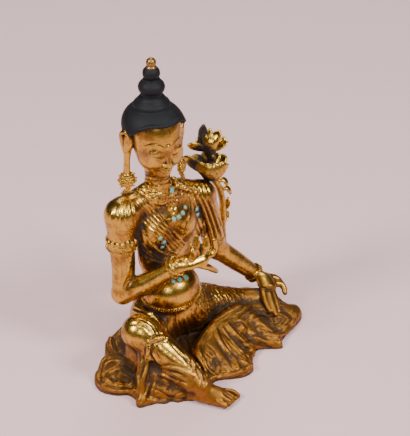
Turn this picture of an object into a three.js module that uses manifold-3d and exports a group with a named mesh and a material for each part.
// A bodhisattva of gilt copper alloy seated on the ground, with painted hair, turquoise stones in
// the jewellery and a lotus spray cast on its own beside the left arm. Millimetres, +Z up, the
// figure faces -Y, its left hand is on the +X side and the origin is on the underside, below the
// spine. The figure is modelled as one distance field: limbs, folds and features are blended
// into a grid of distances, and the surface where the distance is zero becomes the solid.
import * as THREE from 'three';
import Module from 'manifold-3d';
import { mergeVertices } from 'three/addons/utils/BufferGeometryUtils.js';

const wasm = await Module();
wasm.setup();

// Driving sizes
const FIGURE_STEP = 0.9; // spacing of the figure's grid
const SPRAY_STEP = 0.75;
const FIGURE_TRIANGLES = 6250;
const SPRAY_TRIANGLES = 1450;
const CLEARANCE = 0.3; // between a stone and its socket
const SPRAY_GAP = 0.55; // between the spray and the figure
const STONE_DEPTH = 0.62; // a stone's height as a share of its radius

// Joints of the body
const PELVIS = [-1, 6, 21];
const NECK = [-5.5, 6.5, 91];
const HEAD = [-7.5, 6, 124];
const SHOULDER_R = [-27, 8, 85];
const ELBOW_R = [-28, 7.5, 40];
const WRIST_R = [-11.2, -15, 60.6];
const SHOULDER_L = [22, 8, 79];
const ELBOW_L = [35.6, 12.5, 39.8];
const WRIST_L = [57, 6.5, 18.6];
const KNEE_R = [-33, -13.5, 30];
const ANKLE_R = [-18.5, -45, 8.5];
const KNEE_L = [53, -3, 8.5];

// The head is larger than life for the body, turns a little to its right and bows
const HEAD_SIZE = new THREE.Vector3(1.1, 1.1, 0.98);
const HEAD_TURN = -10 * THREE.MathUtils.DEG2RAD;
const HEAD_BOW = 9 * THREE.MathUtils.DEG2RAD;

// Topknot above the crown: heights above the middle of the head and radii, from below
const KNOT_AXIS = [-7.3, 8.5];
const KNOT = [
  { rise: 15.6, radius: 9, height: 4 },
  { rise: 18.2, radius: 6.8, height: 3.4 },
  { rise: 24.7, radius: 6.5, height: 4.6 },
  { rise: 31.9, radius: 4.25, height: 3.9 },
  { rise: 37.4, radius: 2.5, height: 2.5 },
];

// Plan of the robe's hem on the ground, anticlockwise from the right foot
const HEM = [
  [-19, -42], [-4, -37], [3, -40], [10, -43], [17, -41.5], [22, -35], [28, -29.5],
  [34, -30], [41, -35.5], [45, -30.5], [55, -26], [64, -22.5], [70, -16.5], [68, -5],
  [66, 10], [52, 21], [34, 28], [12, 31], [-10, 29], [-27, 24], [-36, 14], [-44, 8],
  [-52, 0], [-54, -9], [-50, -16], [-45, -20], [-45, -27], [-47, -31], [-42, -32.5],
  [-35, -34], [-27, -39],
];
const HEM_HEIGHT = 4.2;

// Small vector helpers
const add = (a, b) => a.map((v, i) => v + b[i]);
const sub = (a, b) => a.map((v, i) => v - b[i]);
const scaled = (a, s) => a.map((v) => v * s);
const dot = (a, b) => a[0] * b[0] + a[1] * b[1] + a[2] * b[2];
const mix = (a, b, t) => a.map((v, i) => v + (b[i] - v) * t);
const unit = (a) => scaled(a, 1 / Math.hypot(...a));
const across = (a, b) => [a[1] * b[2] - a[2] * b[1], a[2] * b[0] - a[0] * b[2],
  a[0] * b[1] - a[1] * b[0]];
const clamp = (v, low, high) => Math.min(high, Math.max(low, v));

// Shapes, each with its bounds and its distance function

// A rounded bar from a to b whose radius runs from ra to rb. With a flat normal it is
// squeezed along that normal to the given share.
function bar(a, ra, b, rb, flat) {
  const ab = sub(b, a);
  const length2 = dot(ab, ab) || 1e-9;
  const r = Math.max(ra, rb);
  return {
    low: a.map((v, i) => Math.min(v, b[i]) - r),
    high: a.map((v, i) => Math.max(v, b[i]) + r),
    distance(x, y, z) {
      const px = x - a[0], py = y - a[1], pz = z - a[2];
      const t = clamp((px * ab[0] + py * ab[1] + pz * ab[2]) / length2, 0, 1);
      const qx = px - ab[0] * t, qy = py - ab[1] * t, qz = pz - ab[2] * t;
      const radius = ra + (rb - ra) * t;
      if (!flat) return Math.hypot(qx, qy, qz) - radius;
      const n = flat.normal, thin = radius * flat.share;
      const h = qx * n[0] + qy * n[1] + qz * n[2];
      const w2 = Math.max(0, qx * qx + qy * qy + qz * qz - h * h);
      const k0 = Math.sqrt(w2 / radius ** 2 + h * h / thin ** 2);
      const k1 = Math.sqrt(w2 / radius ** 4 + h * h / thin ** 4);
      return k1 > 1e-9 ? k0 * (k0 - 1) / k1 : -thin;
    },
  };
}

// An ellipsoid, optionally turned by a matrix
function ball(c, radii, turn) {
  const r = Array.isArray(radii) ? radii : [radii, radii, radii];
  const back = turn ? turn.clone().invert() : null;
  const reach = turn ? Math.max(...r) : 0;
  const p = new THREE.Vector3();
  return {
    low: c.map((v, i) => v - Math.max(reach, r[i])),
    high: c.map((v, i) => v + Math.max(reach, r[i])),
    distance(x, y, z) {
      p.set(x - c[0], y - c[1], z - c[2]);
      if (back) p.applyMatrix4(back);
      const k0 = Math.hypot(p.x / r[0], p.y / r[1], p.z / r[2]);
      const k1 = Math.hypot(p.x / r[0] ** 2, p.y / r[1] ** 2, p.z / r[2] ** 2);
      return k1 > 1e-9 ? k0 * (k0 - 1) / k1 : -Math.min(...r);
    },
  };
}

// Bars along a smooth line through points given as [x, y, z, radius]
function strand(points, flat, steps = 5) {
  const curve = new THREE.CatmullRomCurve3(
    points.map((p) => new THREE.Vector3(...p)), false, 'catmullrom', 0.5);
  const spans = points.length - 1;
  const count = spans * steps;
  const at = (i) => {
    const t = i / count;
    const k = Math.min(spans - 1, Math.floor(t * spans));
    const r = THREE.MathUtils.lerp(points[k][3], points[k + 1][3], t * spans - k);
    return [curve.getPoint(t).toArray(), r];
  };
  const bars = [];
  for (let i = 0; i < count; i++) {
    const [a, ra] = at(i);
    const [b, rb] = at(i + 1);
    bars.push(bar(a, ra, b, rb, flat));
  }
  return bars;
}

// A grid of distances to the surface, negative inside
class Field {
  constructor(low, high, step) {
    this.low = low;
    this.step = step;
    this.size = high.map((v, i) => Math.ceil((v - low[i]) / step) + 1);
    this.value = new Float32Array(this.size[0] * this.size[1] * this.size[2]).fill(40);
  }

  index(i, j, k) {
    return (k * this.size[1] + j) * this.size[0] + i;
  }

  // The grid cells of a box widened by a margin, as [first, last] on each axis
  span(low, high, margin) {
    return [0, 1, 2].map((a) => [
      clamp(Math.floor((low[a] - margin - this.low[a]) / this.step), 0, this.size[a] - 1),
      clamp(Math.ceil((high[a] + margin - this.low[a]) / this.step), 0, this.size[a] - 1),
    ]);
  }

  // Joins shapes to the field, or cuts them from it, with a fillet of the given softness
  blend(shapes, softness, cut = false) {
    const list = Array.isArray(shapes) ? shapes : [shapes];
    const margin = softness + 2 * this.step;
    const low = [0, 1, 2].map((a) => Math.min(...list.map((s) => s.low[a])));
    const high = [0, 1, 2].map((a) => Math.max(...list.map((s) => s.high[a])));
    const [ri, rj, rk] = this.span(low, high, margin);
    const ni = ri[1] - ri[0] + 1, nj = rj[1] - rj[0] + 1;
    const near = new Float32Array(ni * nj * (rk[1] - rk[0] + 1)).fill(1e3);
    for (const s of list) {
      const [si, sj, sk] = this.span(s.low, s.high, margin);
      for (let k = sk[0]; k <= sk[1]; k++)
        for (let j = sj[0]; j <= sj[1]; j++)
          for (let i = si[0]; i <= si[1]; i++) {
            const d = s.distance(this.low[0] + i * this.step, this.low[1] + j * this.step,
              this.low[2] + k * this.step);
            const n = ((k - rk[0]) * nj + j - rj[0]) * ni + i - ri[0];
            if (d < near[n]) near[n] = d;
          }
    }
    for (let k = rk[0]; k <= rk[1]; k++)
      for (let j = rj[0]; j <= rj[1]; j++)
        for (let i = ri[0]; i <= ri[1]; i++) {
          const d = near[((k - rk[0]) * nj + j - rj[0]) * ni + i - ri[0]];
          const n = this.index(i, j, k);
          const a = cut ? -this.value[n] : this.value[n];
          const h = Math.max(softness - Math.abs(a - d), 0) / (softness || 1);
          const joined = Math.min(a, d) - h * h * softness / 4;
          this.value[n] = cut ? -joined : joined;
        }
  }

  // The distance at a point, between grid points
  at(p) {
    const g = p.map((v, a) => clamp((v - this.low[a]) / this.step, 0, this.size[a] - 1.001));
    const [i, j, k] = g.map(Math.floor);
    const [x, y, z] = [g[0] - i, g[1] - j, g[2] - k];
    const v = (a, b, c) => this.value[this.index(i + a, j + b, k + c)];
    const row = (b, c) => v(0, b, c) * (1 - x) + v(1, b, c) * x;
    return (row(0, 0) * (1 - y) + row(1, 0) * y) * (1 - z)
      + (row(0, 1) * (1 - y) + row(1, 1) * y) * z;
  }

  // Where a line from a point along a direction first meets the surface, raised by lift,
  // or nothing if it misses
  land(from, direction, lift = 0) {
    const way = unit(direction);
    for (let t = 0; t < 90; t += this.step / 3) {
      const p = add(from, scaled(way, t));
      if (this.at(p) <= 0) return add(p, scaled(way, -lift));
    }
    return null;
  }

  // Fills the grid cells where the surface would touch itself, so that it stays a plain skin
  settle() {
    const [nx, ny, nz] = this.size;
    const corners = [0, 1, 2, 3, 4, 5, 6, 7];
    const groups = (pattern, want) => {
      const open = new Set(corners.filter((c) => ((pattern >> c) & 1) === want));
      let count = 0;
      while (open.size) {
        const queue = [open.values().next().value];
        open.delete(queue[0]);
        count++;
        while (queue.length) {
          const c = queue.pop();
          for (const step of [1, 2, 4])
            if (open.delete(c ^ step)) queue.push(c ^ step);
        }
      }
      return count;
    };
    const plain = Array.from({ length: 256 }, (_, n) => groups(n, 0) < 2 && groups(n, 1) < 2);
    for (let pass = 0, changed = true; changed && pass < 40; pass++) {
      changed = false;
      for (let k = 0; k < nz - 1; k++)
        for (let j = 0; j < ny - 1; j++)
          for (let i = 0; i < nx - 1; i++) {
            let pattern = 0, shallow = -1;
            for (const c of corners) {
              const n = this.index(i + (c & 1), j + ((c >> 1) & 1), k + (c >> 2));
              if (this.value[n] < 0) pattern |= 1 << c;
              else if (shallow < 0 || this.value[n] < this.value[shallow]) shallow = n;
            }
            if (plain[pattern]) continue;
            this.value[shallow] = -0.05 * this.step;
            changed = true;
          }
    }
  }

  // The surface as quads around the grid's edges that cross it, split into triangles
  surface() {
    this.settle();
    const [nx, ny, nz] = this.size;
    const corner = new Int32Array((nx - 1) * (ny - 1) * (nz - 1)).fill(-1);
    const cell = (i, j, k) => (k * (ny - 1) + j) * (nx - 1) + i;
    const points = [];
    const faces = [];
    for (let k = 0; k < nz - 1; k++)
      for (let j = 0; j < ny - 1; j++)
        for (let i = 0; i < nx - 1; i++) {
          const v = [];
          let inside = 0;
          for (let c = 0; c < 8; c++) {
            v[c] = this.value[this.index(i + (c & 1), j + ((c >> 1) & 1), k + (c >> 2))];
            if (v[c] < 0) inside++;
          }
          if (inside === 0 || inside === 8) continue;
          const sum = [0, 0, 0];
          let crossings = 0;
          for (let c = 0; c < 8; c++)
            for (let a = 0; a < 3; a++) {
              const d = c | (1 << a);
              if (d === c || (v[c] < 0) === (v[d] < 0)) continue;
              const t = v[c] / (v[c] - v[d]);
              for (let b = 0; b < 3; b++) sum[b] += b === a ? t : (c >> b) & 1;
              crossings++;
            }
          corner[cell(i, j, k)] = points.length;
          const base = [i, j, k];
          points.push(sum.map((s, a) => this.low[a] + this.step * (base[a] + s / crossings)));
        }
    for (let k = 1; k < nz - 1; k++)
      for (let j = 1; j < ny - 1; j++)
        for (let i = 1; i < nx - 1; i++) {
          const here = this.value[this.index(i, j, k)] < 0;
          const ring = [
            [this.value[this.index(i + 1, j, k)], (b, c) => cell(i, j - b, k - c)],
            [this.value[this.index(i, j + 1, k)], (b, c) => cell(i - c, j, k - b)],
            [this.value[this.index(i, j, k + 1)], (b, c) => cell(i - b, j - c, k)],
          ];
          for (const [other, spot] of ring) {
            if ((other < 0) === here) continue;
            const q = [spot(1, 1), spot(0, 1), spot(0, 0), spot(1, 0)].map((n) => corner[n]);
            if (!here) q.reverse();
            faces.push([q[0], q[1], q[2]], [q[0], q[2], q[3]]);
          }
        }
    return { points, faces };
  }
}

// Reduces a closed mesh to a number of triangles by merging the edge whose loss moves the
// surface least, measured by the squared distance to the planes around it
function reduce({ points, faces }, target) {
  const quadric = points.map(() => new Float64Array(10));
  const around = points.map(() => new Set());
  const alive = faces.map(() => true);
  const version = new Int32Array(points.length);
  const normalOf = (a, b, c) => {
    const u = sub(b, a), v = sub(c, a);
    return [u[1] * v[2] - u[2] * v[1], u[2] * v[0] - u[0] * v[2], u[0] * v[1] - u[1] * v[0]];
  };
  faces.forEach((f, n) => {
    const cross = normalOf(points[f[0]], points[f[1]], points[f[2]]);
    const area = Math.hypot(...cross) || 1e-12;
    const m = scaled(cross, 1 / area);
    const d = -dot(m, points[f[0]]);
    const p = [...m, d];
    for (const v of f) {
      around[v].add(n);
      let s = 0;
      for (let i = 0; i < 4; i++)
        for (let j = i; j < 4; j++) quadric[v][s++] += p[i] * p[j] * area;
    }
  });
  const error = (q, [x, y, z]) => q[0] * x * x + 2 * q[1] * x * y + 2 * q[2] * x * z
    + 2 * q[3] * x + q[4] * y * y + 2 * q[5] * y * z + 2 * q[6] * y + q[7] * z * z
    + 2 * q[8] * z + q[9];
  const best = (a, b) => {
    const q = quadric[a].map((v, i) => v + quadric[b][i]);
    const m = new THREE.Matrix3().set(q[0], q[1], q[2], q[1], q[4], q[5], q[2], q[5], q[7]);
    const middle = mix(points[a], points[b], 0.5);
    const options = [middle, points[a], points[b]];
    const size = q[0] + q[4] + q[7];
    if (Math.abs(m.determinant()) > 1e-4 * size ** 3) {
      const p = new THREE.Vector3(-q[3], -q[6], -q[8]).applyMatrix3(m.invert()).toArray();
      const reach = Math.hypot(...sub(points[a], points[b]));
      if (Math.hypot(...sub(p, middle)) < 2 * reach) options.unshift(p);
    }
    const costs = options.map((p) => error(q, p));
    const cost = Math.min(...costs);
    return { cost: cost + 1e-7 * Math.hypot(...sub(points[a], points[b])),
      point: options[costs.indexOf(cost)] };
  };
  const heap = [];
  const push = (item) => {
    let n = heap.push(item) - 1;
    while (n > 0) {
      const parent = (n - 1) >> 1;
      if (heap[parent].cost <= heap[n].cost) break;
      [heap[parent], heap[n]] = [heap[n], heap[parent]];
      n = parent;
    }
  };
  const pop = () => {
    const top = heap[0];
    const last = heap.pop();
    if (heap.length) {
      heap[0] = last;
      for (let n = 0; ;) {
        const left = 2 * n + 1;
        if (left >= heap.length) break;
        const next = left + 1 < heap.length && heap[left + 1].cost < heap[left].cost
          ? left + 1 : left;
        if (heap[n].cost <= heap[next].cost) break;
        [heap[next], heap[n]] = [heap[n], heap[next]];
        n = next;
      }
    }
    return top;
  };
  const offer = (a, b) => push({ a, b, va: version[a], vb: version[b], ...best(a, b) });
  const neighbours = (v) => new Set([...around[v]].flatMap((n) => faces[n]).filter((o) => o !== v));
  points.forEach((_, v) => neighbours(v).forEach((o) => o > v && offer(v, o)));
  let left = faces.length;
  while (left > target && heap.length) {
    const { a, b, va, vb, point } = pop();
    if (version[a] !== va || version[b] !== vb) continue;
    const near = neighbours(b);
    const shared = [...neighbours(a)].filter((v) => near.has(v));
    if (shared.length !== 2) continue;
    const gone = [...around[a]].filter((n) => faces[n].includes(b));
    const folds = [a, b].some((v) => [...around[v]].some((n) => {
      if (gone.includes(n)) return false;
      const before = faces[n].map((o) => points[o]);
      const after = faces[n].map((o) => (o === v ? point : points[o]));
      const old = normalOf(...before), now = normalOf(...after);
      return dot(old, now) < 0.25 * Math.hypot(...old) * Math.hypot(...now)
        || Math.hypot(...now) < 1e-4;
    }));
    if (folds) continue;
    for (const n of gone) {
      alive[n] = false;
      faces[n].forEach((v) => around[v].delete(n));
    }
    left -= gone.length;
    for (const n of around[b]) {
      faces[n] = faces[n].map((v) => (v === b ? a : v));
      around[a].add(n);
    }
    around[b].clear();
    points[a] = point;
    quadric[a] = quadric[a].map((v, i) => v + quadric[b][i]);
    version[a]++;
    version[b]++;
    neighbours(a).forEach((o) => offer(a, o));
  }
  return { points, faces: faces.filter((_, n) => alive[n]) };
}

// Meshes to and from solids
function geometryOf({ points, faces }) {
  const geometry = new THREE.BufferGeometry();
  geometry.setAttribute('position', new THREE.Float32BufferAttribute(points.flat(), 3));
  geometry.setIndex(faces.flat());
  return geometry;
}

function solidOf(geometry) {
  const bare = geometry.clone();
  bare.deleteAttribute('normal');
  bare.deleteAttribute('uv');
  const merged = geometry.attributes.normal ? mergeVertices(bare, 1e-4) : bare;
  return new wasm.Manifold(new wasm.Mesh({
    numProp: 3,
    vertProperties: merged.attributes.position.array,
    triVerts: new Uint32Array(merged.index.array),
  }));
}

function geometryFrom(solid) {
  const mesh = solid.getMesh();
  const geometry = new THREE.BufferGeometry();
  geometry.setAttribute('position', new THREE.BufferAttribute(mesh.vertProperties, 3));
  geometry.setIndex(new THREE.BufferAttribute(mesh.triVerts, 1));
  return geometry;
}

// The largest body of a solid, without crumbs
function mainBody(solid) {
  return solid.decompose().sort((a, b) => b.volume() - a.volume())[0];
}

// Torso, neck and belly
function torso(field) {
  field.blend(ball(PELVIS, [22, 15, 16]), 0);
  field.blend(ball([-3.5, 0, 37.5], [15.5, 13.5, 12.5]), 3);
  field.blend(ball([-3, 7, 56], [14, 10, 17]), 5);
  field.blend(ball([-3, 8, 74], [19.5, 11.5, 15]), 6);
  field.blend(ball([9, 9, 62], [12, 8, 19]), 5);
  field.blend(strand([[...SHOULDER_R, 7.4], [-17, 8.5, 88.5, 6.6], [...NECK, 6.8],
    [9, 8.5, 86, 6], [...SHOULDER_L, 6.6]]), 5);
  field.blend([ball([-12, 1, 73], [7, 4.6, 7]), ball([4, 0.4, 71.5], [7, 4.6, 7])], 4);
  field.blend(strand([[...NECK, 7], [-6.2, 6, 98, 6.2], [-7, 5.5, 107, 6.3]]), 3);
}

// Arms down to the wrists
function arms(field) {
  field.blend(strand([[...SHOULDER_R, 8.2], [-27.6, 8, 71, 6.6], [-27, 7.6, 55, 5.9],
    [...ELBOW_R, 5.4]]), 4);
  field.blend(strand([[...ELBOW_R, 5.6], [-21, -2.5, 48, 5.5], [...WRIST_R, 4]]), 1.5);
  field.blend(strand([[...SHOULDER_L, 7], [27.5, 10, 65, 6.6], [31.5, 12, 52, 6.2],
    [...ELBOW_L, 5.6]]), 4);
  field.blend(strand([[...ELBOW_L, 5.6], [47, 9.6, 28.6, 5.1], [...WRIST_L, 4]]), 2);
}

const HAND_R = {
  palm: [[...WRIST_R, 3.5], [-5, -17, 61.6, 4.4], [2, -18, 62.2, 4.2]],
  fingers: [
    [[-1, -19.5, 60, 1.9], [4, -20.5, 57, 1.7], [8, -19.8, 53.6, 1.5], [10.6, -19, 51.2, 1.2]],
    [[3, -18.5, 62, 1.9], [8, -18, 61.5, 1.7], [10.8, -17.6, 64, 1.5], [10.4, -17.4, 68.6, 1.2]],
    [[3, -16, 61, 1.9], [9, -14.6, 60, 1.6], [13, -14, 62, 1.5], [13.4, -14, 66, 1.2]],
    [[2, -14, 59.6, 1.8], [8, -12.4, 57.4, 1.5], [12.4, -11.5, 56.4, 1.2]],
    [[-5, -17, 63.4, 2.1], [-4, -19.5, 67, 1.8], [-5.6, -21, 70.5, 1.4]],
  ],
  bud: [
    [[2.5, -18, 64, 1.6], [4.4, -18.4, 68, 2.3], [4.6, -18.4, 73, 0.9]],
    [[0, -18, 64.4, 1.4], [-2.6, -18.6, 68.6, 2], [-5, -19, 72.6, 0.9]],
    [[2, -16.6, 64.6, 1.2], [1.6, -15.2, 69, 1.8], [1.6, -14.6, 73, 0.8]],
  ],
};

const HAND_L = {
  palm: [[...WRIST_L, 3.6], [58.4, 1.4, 18, 4.6], [57.6, -3.2, 15.4, 5]],
  fingers: [
    [[54, -3.6, 14.6, 2], [50.6, -9.8, 13, 1.8], [48.8, -16, 10, 1.4]],
    [[56.4, -5.4, 14, 2], [52.8, -12.2, 12.4, 1.8], [50.4, -19, 8.6, 1.4]],
    [[58.8, -5.4, 13.8, 1.9], [56.2, -11.6, 12, 1.7], [53.6, -17.6, 8.4, 1.3]],
    [[61, -3, 15.6, 2], [65.4, -6, 14.4, 1.7], [64.6, -9.6, 11.6, 1.3]],
    [[60.6, 1.6, 17.6, 2.2], [65.4, -2, 16, 1.8], [66.4, -7.4, 12, 1.3]],
  ],
};

// A palm flattened across its back, with its fingers and any bud that it holds
function hand(field, { palm, fingers, bud = [] }, normal) {
  field.blend(strand(palm, { normal: unit(normal), share: 0.62 }), 1.5);
  fingers.forEach((finger) => field.blend(strand(finger), 0.9));
  bud.forEach((petal) => field.blend(strand(petal), 0.4));
}

// Legs under the robe; the left shin lies under a slope of cloth
const CREST = [
  [54, -8, 3.6], [45, -8.4, 6.6], [33, -9, 10.4], [25, -10.4, 10.8], [17.5, -12.4, 10.4],
  [9.6, -15.6, 9], [3, -19, 7.6], [-3, -23, 5.6],
];
const CREST_FEET = [
  [66, -17, 2.4], [57, -23, 2.6], [42, -28, 3], [33, -26, 3], [25, -30, 3], [16, -36, 3],
  [6, -36, 3], [-2, -32, 3],
];

function legs(field) {
  field.blend(strand([[-12, 3, 13.5, 10.8], [-22, -5, 19.6, 10], [...KNEE_R, 8.8]]), 5);
  field.blend(strand([[...KNEE_R, 8.6], [-27.6, -23.5, 23.5, 7.6], [-22, -34.6, 16, 6.1],
    [...ANKLE_R, 4.6]]), 2);
  field.blend(strand([[12, 6, 15, 13], [21, 7, 14, 11], [31, 4.4, 11.4, 9.2],
    [42, 2, 9.2, 7.2], [...KNEE_L, 6.2]]), 4);
  field.blend(strand(CREST.map((p) => [...p, 4.2])), 2);
  CREST.forEach((crest, n) => {
    const foot = CREST_FEET[n];
    const knee = add(mix(crest, foot, 0.5), [0, 0, 0.9]);
    field.blend(strand([[...crest, 4.2], [...knee, 3.9], [...foot, 2.4]]), 5);
  });
}

const FOOT_WAY = unit([0.65, -0.76, 0]);
const FOOT_SIDE = [-FOOT_WAY[1], FOOT_WAY[0], 0]; // towards the big toe
const FOOT_LENGTH = 17;

function foot(field) {
  const along = (way, side, z) => add(add([ANKLE_R[0], ANKLE_R[1], 0],
    scaled(FOOT_WAY, way)), add(scaled(FOOT_SIDE, side), [0, 0, z]));
  const flat = { normal: [0, 0, 1], share: 0.55 };
  field.blend(strand([[...ANKLE_R, 4.4], [...along(3, 0, 5.5), 4.6], [...along(8, 0, 4), 4.4]]), 2);
  field.blend(strand([[...along(-1, 0, 3), 4.2], [...along(6, 0, 3), 5.2],
    [...along(12, 0.2, 2.4), 6]], flat), 2.5);
  for (let toe = 0; toe < 5; toe++) {
    const side = 4.7 - toe * 2.35;
    const radius = toe ? 1.35 : 1.9;
    const reach = FOOT_LENGTH - 0.55 * toe - 0.12 * toe * toe;
    field.blend(strand([[...along(10.5, side * 0.86, 2.6), radius],
      [...along(reach - 2, side, 2.6), radius], [...along(reach, side, 1.6), radius * 0.85]]), 0.7);
  }
}

// Places in the head's own frame, which is turned and bowed about its middle
const HEAD_TURNED = new THREE.Matrix4().makeRotationZ(HEAD_TURN)
  .multiply(new THREE.Matrix4().makeRotationX(HEAD_BOW));
const inHead = (x, y, z) => add(HEAD, new THREE.Vector3(x, y, z)
  .multiply(HEAD_SIZE).applyMatrix4(HEAD_TURNED).toArray());
const headBall = (c, radii) => ball(inHead(...c),
  (Array.isArray(radii) ? radii : [radii, radii, radii])
    .map((r, a) => r * HEAD_SIZE.getComponent(a)), HEAD_TURNED);
const headStrand = (points, steps = 4) =>
  strand(points.map(([x, y, z, r]) => [...inHead(x, y, z), r * HEAD_SIZE.z]), null, steps);

function head(field) {
  field.blend(headBall([0, 2, 4], [12, 13.6, 13.6]), 2);
  field.blend(headBall([0, -3.6, -5], [10.2, 10.2, 13.2]), 4);
  field.blend(headBall([0, -8, -14.4], [5, 4.6, 4]), 3);
  field.blend([headBall([-5.4, -8.2, -6], 4.6), headBall([5.4, -8.2, -6], 4.6)], 2.5);
  for (const side of [-1, 1]) {
    field.blend(headBall([side * 4.5, -13.4, -1.2], [2.9, 1.8, 1.7]), 1.5, true);
    field.blend(headBall([side * 4.5, -11.6, -1.4], [3, 1.9, 1.6]), 0.8);
    field.blend(headStrand([[side * 1.8, -13.2, 1.6, 0.8], [side * 4.6, -12.8, 3.2, 0.8],
      [side * 8, -10.2, 1.8, 0.6]]), 1);
    field.blend(headBall([side * 1.5, -14, -8], [1.4, 1.6, 1.2]), 0.8);
  }
  field.blend(headStrand([[0, -12.8, 1.6, 1], [0, -14, -3.4, 1.2], [0, -15.2, -7.4, 1.7]]), 1.2);
  field.blend(headStrand([[-3.4, -12.2, -11.6, 0.6], [-1, -13.5, -11.2, 0.9],
    [1, -13.5, -11.2, 0.9], [3.4, -12.2, -11.6, 0.6]]), 0.7);
  field.blend(headStrand([[-2.6, -12.2, -12.8, 0.7], [0, -13.1, -13.2, 1.1],
    [2.6, -12.2, -12.8, 0.7]]), 0.7);
}

// Long ears with a curled rim, and the lobes that reach the earrings
function ears(field) {
  for (const side of [-1, 1]) {
    const x = side * 12.6;
    field.blend(headBall([x, 1, -1.5], [1.8, 3.4, 5.4]), 1.2);
    field.blend(headStrand([[x, -1.5, 1.5, 0.9], [x + side * 1.4, 0.8, 4.6, 1.1],
      [x + side * 2.2, 3.4, 2.4, 1.1], [x + side * 1.8, 3.2, -2.6, 1], [x + side, 1.4, -7, 1.2]]), 0.6);
    field.blend(headStrand([[x, 0.6, -4.6, 2], [x + side * 0.3, 0.4, -12, 1.6],
      [x + side * 0.4, -0.4, -20, 1.8]]), 1);
  }
}

// Height of the hairline round the head: straight over the brow, low behind the ears
const HAIRLINE = [
  [0, 12.4], [0.7, 12], [1.05, 9.6], [1.35, 5], [1.6, 4.6], [2.1, -3], [2.7, -8], [Math.PI, -9],
];
function hairline(angle) {
  const a = Math.abs(angle);
  const n = HAIRLINE.findIndex(([stop]) => a <= stop + 1e-6);
  if (n < 1) return HAIRLINE[0][1];
  const [a0, z0] = HAIRLINE[n - 1], [a1, z1] = HAIRLINE[n];
  return z0 + (z1 - z0) * (a - a0) / (a1 - a0);
}

// Cap of hair with a rolled edge, and the tiered topknot
const CAP = { middle: [0, 1.8, 4.6], radii: [14, 15.4, 12.2] };
function hair(field) {
  const cap = headBall(CAP.middle, CAP.radii);
  const rim = [];
  for (let n = 0; n <= 40; n++) {
    const angle = (n / 40 * 2 - 1) * Math.PI;
    const z = hairline(angle);
    const flare = Math.sqrt(Math.max(0, 1 - ((z - CAP.middle[2]) / CAP.radii[2]) ** 2));
    rim.push([(CAP.radii[0] - 0.6) * flare * Math.sin(angle),
      CAP.middle[1] - (CAP.radii[1] - 0.6) * flare * Math.cos(angle), z, 0.9]);
  }
  const toHead = HEAD_TURNED.clone().invert();
  const p = new THREE.Vector3();
  const trimmed = {
    low: cap.low,
    high: cap.high,
    distance(x, y, z) {
      p.set(x - HEAD[0], y - HEAD[1], z - HEAD[2]).applyMatrix4(toHead);
      p.divide(HEAD_SIZE);
      const below = hairline(Math.atan2(p.x, CAP.middle[1] - p.y)) - p.z;
      return Math.max(cap.distance(x, y, z), below * 0.8);
    },
  };
  field.blend(trimmed, 0.3);
  field.blend(headStrand(rim, 1), 0.8);
  for (const { rise, radius, height } of KNOT)
    field.blend(ball([...KNOT_AXIS, HEAD[2] + rise], [radius, radius, height]), 0.8);
}

// The ground cloth: the robe's hem spread around the legs, with folds that run in from its edge
function groundCloth(field) {
  const curve = new THREE.CatmullRomCurve3(
    HEM.map(([x, y]) => new THREE.Vector3(x, y, 0)), true, 'catmullrom', 0.5);
  const outline = curve.getPoints(HEM.length * 4).slice(0, -1);
  const nearest = (x, y) => {
    let best = 1e9, inside = false, where = 0;
    outline.forEach((a, n) => {
      const b = outline[(n + 1) % outline.length];
      const ex = b.x - a.x, ey = b.y - a.y;
      const t = clamp(((x - a.x) * ex + (y - a.y) * ey) / (ex * ex + ey * ey), 0, 1);
      const d = Math.hypot(x - a.x - t * ex, y - a.y - t * ey);
      if (d < best) {
        best = d;
        where = n + t;
      }
      if ((a.y > y) !== (b.y > y) && x < a.x + (y - a.y) / ey * ex) inside = !inside;
    });
    return [inside ? best : -best, where / outline.length];
  };
  const memory = new Map();
  const shape = {
    low: [-56, -46, -2],
    high: [73, 33, 9],
    distance(x, y, z) {
      const key = Math.round(x * 100) * 1e6 + Math.round(y * 100);
      if (!memory.has(key)) memory.set(key, nearest(x, y));
      const [inset, where] = memory.get(key);
      const fade = clamp(inset / 10, 0, 1);
      const ripple = Math.sin(where * Math.PI * 2 * 26) * 0.8 * (1 - 0.5 * fade);
      const top = HEM_HEIGHT - 0.8 + 3.2 * fade + ripple;
      const side = -inset, up = z - top;
      const h = Math.max(2.4 - Math.abs(side - up), 0) / 2.4;
      return Math.max(Math.max(side, up) + h * h * 0.6, -1.6 - z);
    },
  };
  field.blend(shape, 2);
}

// Folds laid over the surface: each is a line of points that is dropped on to the field along
// a direction and swept as a ridge, with a break where the surface falls away
function ridge(field, points, direction, radius, softness = 0.8, sink = 0.35) {
  const curve = new THREE.CatmullRomCurve3(points.map((p) => new THREE.Vector3(...p)));
  const count = (points.length - 1) * 5;
  const landed = [];
  for (let n = 0; n <= count; n++) {
    const from = curve.getPoint(n / count).toArray();
    const p = field.land(from, direction, -sink * radius);
    const taper = 0.55 + 0.45 * Math.sin(Math.PI * n / count);
    landed.push(p && { p, from, r: radius * taper });
  }
  const bars = [];
  for (let n = 1; n <= count; n++) {
    const a = landed[n - 1], b = landed[n];
    if (!a || !b) continue;
    const drop = Math.hypot(...sub(b.p, a.p)) / Math.hypot(...sub(b.from, a.from));
    if (drop < 2.6) bars.push(bar(a.p, a.r, b.p, b.r));
  }
  if (bars.length) field.blend(bars, softness);
}

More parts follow.
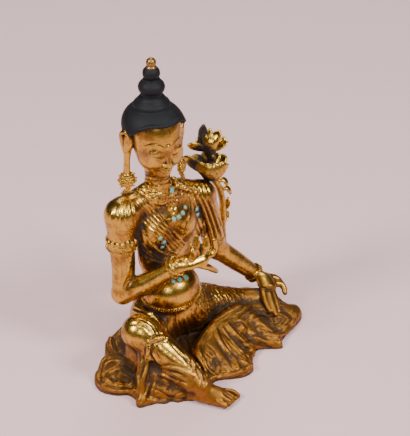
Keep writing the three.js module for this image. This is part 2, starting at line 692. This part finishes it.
// The shawl: folds over the right shoulder and across the chest, and down both upper arms
function shawl(field) {
  const front = [0, 1, 0];
  for (let n = 0; n < 5; n++) {
    const s = n * 3;
    ridge(field, [[-22 + s, -20, 91 - s * 0.5], [-15 + s, -20, 83 - s * 0.5],
      [-5 + s * 0.9, -20, 71 - s * 0.5], [3 + s * 0.6, -20, 63 - s * 0.4]], front, 1.25);
  }
  for (let n = 0; n < 4; n++) {
    const s = n * 5;
    ridge(field, [[-20 + s, 40, 88 - s * 0.6], [-12 + s, 40, 76 - s * 0.7],
      [-2 + s, 40, 64 - s * 0.7]], [0, -1, 0], 1.2);
  }
  // curled tress that lies over the left shoulder
  const curls = [];
  for (let n = 0; n < 8; n++) {
    const t = n / 7;
    const p = field.land([1 + 14 * t, -30, 113 - 9 * t], [0, 1, -0.55], 0.6);
    if (p) curls.push(ball(p, [2, 2, 1.9]));
  }
  field.blend(curls, 0.5);
}

// Folds of the sleeves
function sleeves(field) {
  for (let n = 0; n < 4; n++) {
    const s = n * 3.4;
    ridge(field, [[-52 + s, -20 - s, 86], [-53 + s, -20 - s, 79], [-52.6 + s, -20 - s, 72]],
      [0.7, 0.8, 0], 1.1);
    ridge(field, [[17.5 + s, -30, 84 - s * 0.4], [20 + s, -30, 72], [23 + s * 1.1, -30, 58],
      [25.6 + s * 1.1, -30, 47]], [0, 1, 0], 1.3);
  }
}

// Robe over the legs: the curtain of cloth under the right shin, hems and heavy folds
function robe(field) {
  const shin = (t) => mix(KNEE_R, ANKLE_R, t);
  const ground = [[-45, -29, 1], [-39, -31, 1], [-34, -34, 1], [-28, -37.5, 1], [-22, -41, 1]];
  ground.forEach((g, n) => {
    const from = add(shin(0.16 + n * 0.17), [-1.5, 0, -2.5]);
    const fold = add(mix(from, g, 0.55), [0.5, 0.5, n % 2 ? 0 : 2]);
    field.blend(strand([[...from, 4.6], [...fold, 3], [...g, 1.9]]), 2);
  });
  field.blend(strand([[-16, 4, 9, 9], [-27, -6, 11, 8], [-31, -17, 12, 6.5]]), 5);
  const down = [0, 0, -1];
  // folds gathered round the right knee and across the lap
  for (let n = 0; n < 3; n++) {
    const s = n * 3;
    ridge(field, [[-25 - s * 0.4, 6 - s, 60], [-20 + s * 0.2, -6 - s * 0.6, 60],
      [-20 + s * 0.3, -15 - s, 60]], down, 1.3, 1);
  }
  // hem of the trousers at the right ankle
  for (const t of [0.62, 0.8]) {
    const axis = sub(ANKLE_R, KNEE_R);
    field.blend(ring(add(shin(t), [0, 0, -0.4]), axis, 6.9 - 2 * (t - 0.5), 0.9), 0.7);
  }
  // front cloth: roll beside the shin, knob, fan of pleats and far corner
  ridge(field, [[20, -22, 40], [10, -24, 40], [0, -28, 40], [-2, -33, 40]], down, 2, 1.2);
  field.blend(ball([26.6, -20, 10], [2.6, 2.6, 2.8]), 1);
  for (let n = 0; n < 5; n++) {
    const a = -0.5 + n * 0.32;
    const root = [7 + n * 1.6, -28 + n * 0.5, 40];
    ridge(field, [root, add(root, [6 * Math.sin(a), -6 * Math.cos(a), 0]),
      add(root, [13 * Math.sin(a), -13 * Math.cos(a), 0])], down, 1.2, 0.8);
  }
  ridge(field, [[36, -22, 40], [39, -28, 40], [41, -34, 40]], down, 1.7, 1);
  ridge(field, [[46, -18, 40], [56, -21, 40], [66, -18, 40]], down, 1.6, 1);
  ridge(field, [[-50, -4, 40], [-49, -12, 40], [-42, -17, 40]], down, 1.6, 1);
}

// Girdle, necklaces, bangles and earrings in their main forms
function ring(center, axis, radius, thick, squash = 1) {
  const n = unit(axis);
  const side = unit(Math.abs(n[2]) > 0.9 ? [n[2], 0, -n[0]] : [-n[1], n[0], 0]);
  const other = [n[1] * side[2] - n[2] * side[1], n[2] * side[0] - n[0] * side[2],
    n[0] * side[1] - n[1] * side[0]];
  const points = [];
  for (let k = 0; k <= 16; k++) {
    const a = k / 16 * Math.PI * 2;
    points.push([...add(center, add(scaled(side, radius * Math.cos(a)),
      scaled(other, radius * squash * Math.sin(a)))), thick]);
  }
  return strand(points, null, 1);
}

// The girdle under the belly, laid on the body all round
function girdle(field) {
  const points = [];
  for (let n = 0; n <= 36; n++) {
    const a = n / 36 * Math.PI * 2;
    const low = 35.4 - 3.6 * Math.cos(a + 0.4);
    const p = field.land([-3 + 60 * Math.sin(a), 2 - 60 * Math.cos(a), low],
      [-Math.sin(a), Math.cos(a), 0], 0.1);
    if (p) points.push([...p, 1]);
  }
  field.blend(strand(points, null, 1), 0.5);
}

function jewellery(field) {
  const forearmR = sub(WRIST_R, ELBOW_R), forearmL = sub(WRIST_L, ELBOW_L);
  field.blend(ring(mix(ELBOW_R, WRIST_R, 0.97), forearmR, 4.1, 1), 0.4);
  field.blend(ring(mix(ELBOW_L, WRIST_L, 0.97), forearmL, 4.1, 1), 0.4);
  field.blend(ring([-27.4, 8, 69.5], [0, 0, 1], 6.8, 1), 0.4);
  for (const side of [-1, 1]) {
    const drop = inHead(side * 13.4, -1.5, -24);
    field.blend(ball(drop, [4.4, 3.2, 4.6]), 0.8);
    field.blend(ball(add(drop, [0, -0.8, -6.5]), [3, 2.4, 3.4]), 0.8);
  }
}

// Stones: a place in front of the body, the direction to drop along, and the radius
const STONES = [
  ['turquoise_collar', [-2.4, -30, 93.6], [0, 1, 0], 1.7],
  ['turquoise_necklace_1', [-3.6, -30, 79.2], [0, 1, 0], 1.4],
  ['turquoise_necklace_2', [-0.4, -30, 79], [0, 1, 0], 1.35],
  ['turquoise_necklace_3', [2.6, -30, 79.9], [0, 1, 0], 1.25],
  ['turquoise_necklace_4', [5.2, -30, 81.4], [0, 1, 0], 1.2],
  ['turquoise_tassel_1', [13.8, -30, 76.6], [0, 1, 0], 1.35],
  ['turquoise_tassel_2', [14.6, -30, 73], [0, 1, 0], 1.5],
  ['turquoise_breast_1', [-15.4, -30, 72.2], [0.1, 1, 0], 1.3],
  ['turquoise_breast_2', [-13, -30, 69], [0.1, 1, 0], 1.3],
  ['turquoise_breast_3', [-13.2, -30, 65.6], [0.1, 1, 0], 1.15],
  ['turquoise_girdle_1', [-8, -40, 46.8], [0, 1, 0], 1.2],
  ['turquoise_girdle_2', [-4.6, -40, 46.7], [0, 1, 0], 1.4],
  ['turquoise_girdle_3', [-0.9, -40, 46.6], [0, 1, 0], 1.45],
];

// The lotus spray: a stem from the left hand past the elbow to the shoulder, a low bloom, a
// high bloom and leaves on the outer side of the stem
const STEM = [
  [68.5, 5, 9.6, 1.6], [66, 12.5, 12.6, 1.6], [57, 18.6, 20, 1.6], [49, 21, 30, 1.7],
  [45.4, 19.6, 42, 1.8], [43.6, 17.4, 54, 1.8], [41.6, 15.4, 66, 1.8], [36.4, 13.4, 78, 1.9],
  [29, 12, 88, 2.2],
];
const SPRAY_BOX = { low: [8, -12, 0], high: [84, 38, 124] };

// Petals as root, bend, tip and half width: ten of the high bloom, ten of the low bloom
const PETALS = [
  [[33, 17.1, 96.8], [33.3, 20.8, 102], [34.9, 22.4, 107.7], 1.9],
  [[31, 15.3, 98.3], [28, 18, 99.8], [24.4, 20.8, 100.7], 1.9],
  [[31.5, 13.5, 98.3], [31.2, 14.7, 102.5], [32.1, 16.8, 105.2], 1.5],
  [[32, 12.5, 98.5], [32.6, 13.3, 103.1], [34.3, 15.5, 106.4], 1.5],
  [[33.1, 12.2, 98.3], [34.3, 12.2, 102.5], [36.3, 13.5, 105.2], 1.5],
  [[35.2, 15.7, 97.2], [38, 16.8, 101.6], [40.2, 16.4, 105.3], 1.7],
  [[34.7, 13.5, 97.8], [37.5, 12.1, 99.7], [40.4, 10.6, 101.7], 1.7],
  [[36.3, 16.4, 95.4], [39.8, 16.7, 97.5], [43.6, 16.6, 100.3], 1.6],
  [[35.4, 18.5, 95.4], [37.2, 21.6, 99.2], [39.6, 23, 103.6], 1.6],
  [[33.7, 18.8, 95.8], [33.2, 22.1, 98.2], [32.5, 23.6, 100.5], 1.6],
  [[27.1, 11.1, 88.8], [24.1, 14.6, 92.3], [21.2, 19.2, 95.3], 2.6],
  [[26.4, 7.8, 87.6], [24.5, 9.4, 91.6], [23.8, 11, 94], 2.2],
  [[27.3, 5.7, 87.7], [26, 6.4, 91.2], [26.1, 7.8, 94], 2.2],
  [[28.1, 5, 87.7], [28.4, 4.6, 91.2], [29.3, 5.4, 94.3], 2.2],
  [[29.6, 5.3, 87.6], [31.3, 4.3, 90.9], [33.3, 4.4, 94.2], 2.2],
  [[32.2, 8.7, 86.9], [35.4, 7.8, 89.1], [38.1, 7.2, 91], 1.6],
  [[32.6, 12.4, 86.3], [33.1, 17.1, 89.2], [33.9, 20.6, 92.6], 2.4],
  [[33, 12, 86.3], [36.6, 15.8, 89.2], [38.8, 17.9, 92.2], 2.4],
  [[33.8, 11.4, 86.3], [38.3, 13.1, 89.2], [40.9, 13.9, 92], 2.2],
  [[29.9, 12.2, 87.3], [28.7, 17.3, 90.7], [28.3, 20.9, 93.2], 2.2],
];
// Small buds that hang beside the stem, and leaves along its outer side
const BUDS = [
  [[36, 12.6, 80], [39.4, 11, 80], [40.6, 10.4, 77], 1.3],
  [[39.6, 13.6, 73], [42.6, 12.4, 73.4], [44, 11.8, 70], 1.3],
  [[43, 16.6, 58], [45.6, 16, 60.4], [46.2, 16.4, 64], 1.2],
  [[46.4, 20.4, 47], [49, 21.2, 49.4], [49.6, 21.4, 53], 1.2],
];

// A petal is a flattened strand whose flat side faces away from the bloom's axis
function petal(field, [root, bend, tip, width], axis) {
  const way = sub(tip, root);
  const out = [bend[0] - axis[0], bend[1] - axis[1], 0];
  const side = unit(across(way, out));
  const normal = unit(across(side, way));
  field.blend(strand([[...root, width * 0.7], [...bend, width], [...tip, width * 0.75]],
    { normal, share: Math.max(0.45, 0.95 / width) }, 4), 0.5);
}

function spray(field) {
  field.blend(strand(STEM), 0);
  field.blend(ball([29.6, 10, 88], [4.8, 4.8, 4.4]), 1.5);
  field.blend(strand([[29.6, 10, 88, 3], [32.4, 12.6, 94, 2.1], [33.4, 15.4, 97.4, 3.2]]), 1);
  field.blend(ball([33.4, 15.2, 99], [3.4, 3.4, 3.2]), 1);
  PETALS.forEach((p, n) => petal(field, p, n < 10 ? [33.4, 15.2] : [30, 11]));
  BUDS.forEach((p) => petal(field, p, [p[0][0] - 1, p[0][1]]));
}

// A rounded stone, flatter than a ball, standing on the surface with its axis along the normal
function stoneGeometry(place, normal, radius) {
  const ball = new THREE.SphereGeometry(radius, 9, 5);
  ball.deleteAttribute('normal');
  ball.deleteAttribute('uv');
  const geometry = mergeVertices(ball, 1e-3);
  geometry.rotateX(Math.PI / 2);
  geometry.scale(1, 1, STONE_DEPTH);
  const turn = new THREE.Quaternion().setFromUnitVectors(
    new THREE.Vector3(0, 0, 1), new THREE.Vector3(...normal));
  geometry.applyQuaternion(turn);
  geometry.translate(...place);
  return geometry;
}

// The outward normal of a field at a point
function normalAt(field, p) {
  const e = field.step;
  return unit([0, 1, 2].map((a) => {
    const step = [0, 0, 0];
    step[a] = e;
    return field.at(add(p, step)) - field.at(sub(p, step));
  }));
}

function cutBelowGround(solid) {
  const slab = new THREE.BoxGeometry(400, 400, 20);
  slab.translate(0, 0, -10);
  return solid.subtract(solidOf(slab));
}

// Building the pieces
const GILT = { color: 0xc9963f, roughness: 0.34, metalness: 1 };
const SPRAY_GILT = { color: 0xa9813a, roughness: 0.4, metalness: 1 };
const TURQUOISE = { color: 0x55b8ac, roughness: 0.35, metalness: 0 };

const group = new THREE.Group();
function piece(name, geometry, finish) {
  const mesh = new THREE.Mesh(geometry, new THREE.MeshStandardMaterial(finish));
  mesh.name = name;
  group.add(mesh);
}

const body = new Field([-60, -66, -6], [80, 36, 170], FIGURE_STEP);
torso(body);
legs(body);
girdle(body);
shawl(body);
groundCloth(body);
robe(body);
foot(body);
arms(body);
sleeves(body);
head(body);
ears(body);
hair(body);
jewellery(body);
hand(body, HAND_R, [0.1, -0.5, 0.85]);
hand(body, HAND_L, [0.35, 0.35, 0.85]);

const stones = STONES.map(([name, from, direction, radius]) => {
  const place = body.land(from, direction, 0);
  return { name, place, normal: normalAt(body, place), radius };
});

const flower = new Field(SPRAY_BOX.low, SPRAY_BOX.high, SPRAY_STEP);
spray(flower);
const figureKeepOut = {
  ...SPRAY_BOX,
  distance: (x, y, z) => body.at([x, y, z]) - SPRAY_GAP,
};
flower.blend(figureKeepOut, 0, true);

let figure = solidOf(geometryOf(reduce(body.surface(), FIGURE_TRIANGLES)));
figure = cutBelowGround(figure);
for (const { place, normal, radius } of stones)
  figure = figure.subtract(solidOf(stoneGeometry(place, normal, radius + CLEARANCE)));
const cutSpray = solidOf(geometryOf(reduce(flower.surface(), SPRAY_TRIANGLES)));

piece('figure', geometryFrom(mainBody(figure)), GILT);
piece('lotus_spray', geometryFrom(mainBody(cutSpray)), SPRAY_GILT);
for (const { name, place, normal, radius } of stones)
  piece(name, stoneGeometry(place, normal, radius), TURQUOISE);

export default group;
